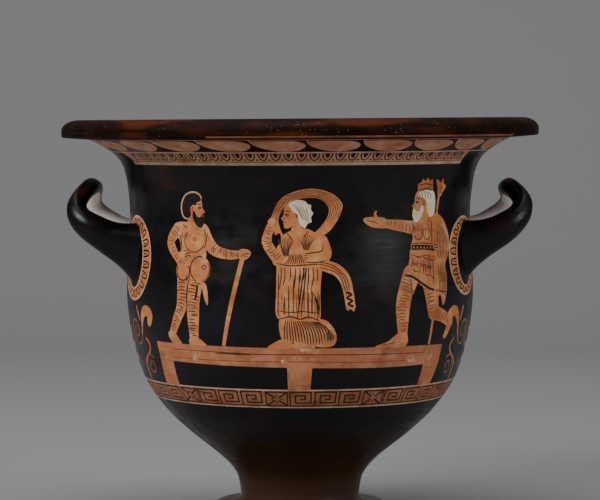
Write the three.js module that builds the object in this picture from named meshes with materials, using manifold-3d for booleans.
// Bell krater: a wheel-thrown mixing bowl for wine and water. The wall flares like an upturned bell
// to an overhanging lip, and stands on a short stem with a hollow stepped foot. Two looped handles
// curl up and back towards the neck, one on each side. All of it is one fired clay body.
//
// Millimetres, +Z up, origin on the ground under the centre of the foot. The painted front faces -Y
// and the handles stand on the X axis.

import * as THREE from 'three';
import { mergeVertices } from 'three/addons/utils/BufferGeometryUtils.js';
import Module from 'manifold-3d';

// Driving dimensions of the bowl
const LIP_RADIUS = 169;
const LIP_TOP = 289;
const LIP_UNDERSIDE = 276.4;
const LIP_NOSE_RADIUS = 2;
const LIP_EDGE_TOP = 281.4;
const LIP_CREST_RADIUS = 157;
const NECK_TOP_RADIUS = 149;
const WAIST_RADIUS = 120.6;
const WAIST_HEIGHT = 219;
const BELLY_RADIUS = 123;
const BELLY_HEIGHT = 174;
const STEM_RADIUS = 41.8;
const STEM_HEIGHT = 21;
const WALL = 6.5;
const LIP_WALL = 9.5;
const LIP_WALL_START = 0.86;
const FLOOR_HEIGHT = 55;
const FLOOR_CURVE_RISE = 8;
const FLOOR_CURVE_BEND = 0.72;

// Driving dimensions of the foot
const FOOT_RADIUS = 72;
const FOOT_REST_RADIUS = 69;
const FOOT_RING_INNER = 57;
const STEP_RADIUS = 60;
const STEP_TOP = 16.7;
const STEP_EDGE_RADIUS = 2.5;
const TORUS_TOP = 11;
const FOOT_HOLLOW_RADIUS = 33;
const FOOT_HOLLOW_TOP = 41;

// Driving dimensions of the handles. A rod swells at its root, most of all downwards, and from
// TAPER_START, a share of the way up, it thins towards the arch. The arch takes the middle
// ARCH_SHARE of the whole loop.
const ROOT_EXTRA_WIDTH = 2.4;
const ROOT_EXTRA_ABOVE = 2;
const ROOT_FADE = 12;
const ROOTS_BOTTOM = 145;
const ROOTS_TOP = 249;
const ARCH_START = 0.52;
const ARCH_SHARE = 0.5;
const TAPER_START = 0.5;
const TWIST_START = 0.3;
const TWIST_END = 0.75;

// The two handles were shaped by hand and differ a little. A handle's side is its rod's centre line
// as seen from the front: out from the wall, up, and curling back at the top. The twist moves its
// front half further out than the rear half, and turnedBack, in degrees, sets it behind the middle.
const HANDLES = [
  {
    mirrored: false,
    rootRadius: 9.4,
    archRadius: 5.3,
    rootExtraBelow: 22.8,
    spread: 38.5,
    twist: 0.06,
    turnedBack: 1,
    side: [
      [103, 206.6], [115, 207], [126, 208.4], [136, 211.6], [144.2, 216.6], [150, 222],
      [152.7, 227], [153.4, 230.6], [152, 234.4], [149.6, 237.8], [147, 240],
    ],
  },
  {
    mirrored: true,
    rootRadius: 9.2,
    archRadius: 4.9,
    rootExtraBelow: 25,
    spread: 41,
    twist: 0.07,
    turnedBack: 1.2,
    side: [
      [103, 204.8], [115, 205.2], [126, 206.6], [134.5, 209.4], [143.2, 214.2], [148.9, 219],
      [152, 223.8], [152.8, 228.2], [151.4, 233], [148.8, 237.4], [146.4, 240.4],
    ],
  },
];

// The mouth was cut free slightly out of level: it stands higher on the +X side
const MOUTH_TILT = 1.25;
const TILT_START = 225;

// Fineness of the facets
const ROUND_SEGMENTS = 56;
const ROD_SIDES = 12;
const ROD_STEPS = 28;
const LOOP_STEP = 0.01;

const COLOUR_GLOSS = 0x15110f;
const MERGE_DISTANCE = 1e-3;

const wasm = await Module();
wasm.setup();

// Outside of the wall from the stem up to the underside of the lip, as radius and height
function outerWall() {
  return new THREE.SplineCurve([
    new THREE.Vector2(STEM_RADIUS, STEM_HEIGHT),
    new THREE.Vector2(STEM_RADIUS + 3.2, 36.6),
    new THREE.Vector2(STEM_RADIUS + 14, 49.6),
    new THREE.Vector2(77.4, 66.9),
    new THREE.Vector2(95.6, 84.3),
    new THREE.Vector2(110.1, 105.8),
    new THREE.Vector2(118.5, 131.6),
    new THREE.Vector2(BELLY_RADIUS - 0.8, 154),
    new THREE.Vector2(BELLY_RADIUS, BELLY_HEIGHT),
    new THREE.Vector2(BELLY_RADIUS - 1.2, 197),
    new THREE.Vector2(WAIST_RADIUS, WAIST_HEIGHT),
    new THREE.Vector2(WAIST_RADIUS + 1.2, 238),
    new THREE.Vector2(WAIST_RADIUS + 4.6, 255),
    new THREE.Vector2(132.6, 265.4),
    new THREE.Vector2(NECK_TOP_RADIUS, 275),
  ]);
}

// Steps between neighbouring points of the outer wall: finer where the stem and the neck turn
const WALL_STEPS = [2, 2, 2, 1, 1, 1, 1, 1, 1, 1, 1, 2, 2, 3];

// Places along the wall, as shares of its length in points, from the stem to the lip
function wallShares() {
  const shares = [0];
  WALL_STEPS.forEach((steps, span) => {
    for (let step = 1; step <= steps; step += 1) {
      shares.push((span + step / steps) / WALL_STEPS.length);
    }
  });
  return shares;
}

// Rounded lip: out along its underside, round the sharp lower nose, up its edge and over the crest
function lipPoints() {
  const nose = LIP_NOSE_RADIUS;
  const lowerNose = new THREE.EllipseCurve(
    LIP_RADIUS - nose, LIP_UNDERSIDE + nose, nose, nose, -Math.PI / 2, 0);
  const crest = new THREE.EllipseCurve(
    LIP_CREST_RADIUS, LIP_EDGE_TOP, LIP_RADIUS - LIP_CREST_RADIUS, LIP_TOP - LIP_EDGE_TOP,
    0, Math.PI / 2);
  return [...lowerNose.getPoints(2), ...crest.getPoints(6)];
}

// Outside of the foot from its resting ring up to the stem
function footPoints() {
  const torus = new THREE.EllipseCurve(
    FOOT_REST_RADIUS - 2, TORUS_TOP / 2, FOOT_RADIUS - FOOT_REST_RADIUS + 2, TORUS_TOP / 2,
    -Math.PI / 3, Math.PI / 2);
  const edge = STEP_EDGE_RADIUS;
  const stepEdge = new THREE.EllipseCurve(
    STEP_RADIUS - edge, STEP_TOP - edge, edge, edge, 0, Math.PI / 2);
  return [
    new THREE.Vector2(FOOT_REST_RADIUS, 0),
    ...torus.getPoints(5).slice(1),
    new THREE.Vector2(STEP_RADIUS, TORUS_TOP),
    ...stepEdge.getPoints(2),
    new THREE.Vector2(STEM_RADIUS + 7, STEP_TOP + 0.4),
    new THREE.Vector2(STEM_RADIUS + 1.5, STEP_TOP + 2),
  ];
}

// Underside of the foot: a hollow cone from the axis out to the resting ring
function footHollowPoints() {
  return [
    new THREE.Vector2(0, FOOT_HOLLOW_TOP),
    new THREE.Vector2(FOOT_HOLLOW_RADIUS * 0.55, FOOT_HOLLOW_TOP - 1.5),
    new THREE.Vector2(FOOT_HOLLOW_RADIUS * 0.9, FOOT_HOLLOW_TOP - 7),
    new THREE.Vector2(FOOT_HOLLOW_RADIUS, 24),
    new THREE.Vector2(FOOT_HOLLOW_RADIUS + 5, 13),
    new THREE.Vector2(FOOT_RING_INNER - 5, 6),
    new THREE.Vector2(FOOT_RING_INNER, 0),
  ];
}

// Inside of the wall: the outside moved inwards by the wall's thickness, down to the bowl's floor
function innerPoints(wall) {
  const points = [];
  for (const share of wallShares().reverse()) {
    const outside = wall.getPoint(share);
    const tangent = wall.getTangent(share);
    const lipShare = THREE.MathUtils.smoothstep(share, LIP_WALL_START, 1);
    const thickness = THREE.MathUtils.lerp(WALL, LIP_WALL, lipShare);
    const inside = new THREE.Vector2(
      outside.x - tangent.y * thickness, outside.y + tangent.x * thickness);
    if (inside.y > FLOOR_HEIGHT + FLOOR_CURVE_RISE) {
      points.push(inside);
    }
  }
  const last = points[points.length - 1];
  const bend = new THREE.Vector2(last.x * FLOOR_CURVE_BEND, FLOOR_HEIGHT);
  const floorCurve = new THREE.QuadraticBezierCurve(last, bend, new THREE.Vector2(0, FLOOR_HEIGHT));
  return [...points, ...floorCurve.getPoints(4).slice(1)];
}

// The whole profile as one closed loop from axis to axis
function kraterProfile() {
  const wall = outerWall();
  return [
    ...footHollowPoints(),
    ...footPoints(),
    ...wallShares().map((share) => wall.getPoint(share)),
    ...lipPoints(),
    ...innerPoints(wall),
  ];
}

// Solid of revolution about Z from a profile of radius and height
function revolve(points) {
  return new THREE.LatheGeometry(points, ROUND_SEGMENTS).rotateX(Math.PI / 2);
}

// Place on a loop for a share of -1 to 1: -1 is the front root, 1 the rear one, 0 the arch's top.
// Gives how far along the rod's side line it is, and how far across that line.
function loopPlace(share, spread) {
  const reach = Math.abs(share);
  if (reach < ARCH_SHARE) {
    const angle = (1 - reach / ARCH_SHARE) * Math.PI / 2;
    const along = ARCH_START + (1 - ARCH_START) * Math.sin(angle);
    return { along, across: Math.sign(share) * spread * Math.cos(angle) };
  }
  const along = ARCH_START * (1 - (reach - ARCH_SHARE) / (1 - ARCH_SHARE));
  return { along, across: Math.sign(share) * spread };
}

function loopPoint(share, line, { spread, twist }) {
  const { along, across } = loopPlace(THREE.MathUtils.clamp(share, -1, 1), spread);
  const onSide = line.getPointAt(along);
  const twisted = twist * across * THREE.MathUtils.smoothstep(along, TWIST_START, TWIST_END);
  return new THREE.Vector3(onSide.x - twisted, across, onSide.y);
}

// One looped handle on the +X side: a cylinder bent along the loop, thickest where it joins the wall.
// Near the wall its sections turn to lie flat against it.
function handleGeometry(handle) {
  const line = new THREE.SplineCurve(handle.side.map(([x, z]) => new THREE.Vector2(x, z)));
  const geometry = new THREE.CylinderGeometry(1, 1, 2, ROD_SIDES, ROD_STEPS);
  const position = geometry.attributes.position;
  const vertex = new THREE.Vector3();
  for (let index = 0; index < position.count; index += 1) {
    vertex.fromBufferAttribute(position, index);
    const share = vertex.y;
    const { along } = loopPlace(share, handle.spread);
    const centre = loopPoint(share, line, handle);
    const ahead = loopPoint(share + LOOP_STEP, line, handle);
    const behind = loopPoint(share - LOOP_STEP, line, handle);
    const fromWall = Math.max(Math.hypot(centre.x, centre.y) - WAIST_RADIUS, 0);
    const swell = Math.exp(-fromWall / ROOT_FADE);
    const wallNormal = new THREE.Vector3(centre.x, centre.y, 0).setLength(-Math.sign(share));
    const tangent = ahead.sub(behind).normalize().lerp(wallNormal, swell).normalize();
    const sideTangent = line.getTangentAt(along);
    const sheetNormal = new THREE.Vector3(-sideTangent.y, 0, sideTangent.x);
    const widthAxis = new THREE.Vector3().crossVectors(tangent, sheetNormal).normalize();
    const heightAxis = new THREE.Vector3().crossVectors(widthAxis, tangent).normalize();
    const taper = THREE.MathUtils.smoothstep(along, TAPER_START, 1);
    const rod = THREE.MathUtils.lerp(handle.rootRadius, handle.archRadius, taper);
    const extraHeight = vertex.z < 0 ? handle.rootExtraBelow : ROOT_EXTRA_ABOVE;
    const halfHeight = rod + extraHeight * swell;
    const halfWidth = rod + ROOT_EXTRA_WIDTH * swell;
    const place = centre
      .addScaledVector(widthAxis, vertex.x * halfWidth)
      .addScaledVector(heightAxis, vertex.z * halfHeight);
    position.setXYZ(index, place.x, place.y, place.z);
  }
  return geometry.rotateZ(THREE.MathUtils.degToRad(handle.turnedBack));
}

// Closed solid from a geometry: shared corners merged and collapsed triangles left out
function toSolid(geometry) {
  geometry.deleteAttribute('normal');
  geometry.deleteAttribute('uv');
  const merged = mergeVertices(geometry, MERGE_DISTANCE);
  const triangles = [];
  const index = merged.index.array;
  for (let start = 0; start < index.length; start += 3) {
    const [a, b, c] = [index[start], index[start + 1], index[start + 2]];
    if (a !== b && b !== c && c !== a) {
      triangles.push(a, b, c);
    }
  }
  return new wasm.Manifold(new wasm.Mesh({
    numProp: 3,
    vertProperties: new Float32Array(merged.attributes.position.array),
    triVerts: new Uint32Array(triangles),
  }));
}

// Geometry from a solid, with the mouth's slight tilt
function toGeometry(solid) {
  const mesh = solid.getMesh();
  const geometry = new THREE.BufferGeometry();
  geometry.setAttribute('position', new THREE.BufferAttribute(mesh.vertProperties, 3));
  geometry.setIndex(new THREE.BufferAttribute(mesh.triVerts, 1));
  const position = geometry.attributes.position;
  for (let index = 0; index < position.count; index += 1) {
    const height = position.getZ(index);
    const share = THREE.MathUtils.smoothstep(height, TILT_START, LIP_TOP);
    const rise = MOUTH_TILT * share * position.getX(index) / LIP_RADIUS;
    position.setZ(index, height + rise);
  }
  geometry.computeVertexNormals();
  return geometry;
}

// Space inside the wall's mid-line, used to trim the handles' roots so that none shows in the bowl
function coreProfile() {
  const radius = WAIST_RADIUS - WALL / 2;
  return [
    new THREE.Vector2(0, ROOTS_BOTTOM),
    new THREE.Vector2(radius, ROOTS_BOTTOM),
    new THREE.Vector2(radius, ROOTS_TOP),
    new THREE.Vector2(0, ROOTS_TOP),
  ];
}

function kraterGeometry() {
  const core = toSolid(revolve(coreProfile()));
  let clay = toSolid(revolve(kraterProfile()));
  for (const handle of HANDLES) {
    const rod = toSolid(handleGeometry(handle)).subtract(core);
    clay = clay.add(handle.mirrored ? rod.mirror([1, 0, 0]) : rod);
  }
  return toGeometry(clay);
}

const material = new THREE.MeshStandardMaterial({
  color: COLOUR_GLOSS,
  roughness: 0.35,
  metalness: 0,
});

const krater = new THREE.Mesh(kraterGeometry(), material);
krater.name = 'krater';

const part = new THREE.Group();
part.add(krater);

export default part;
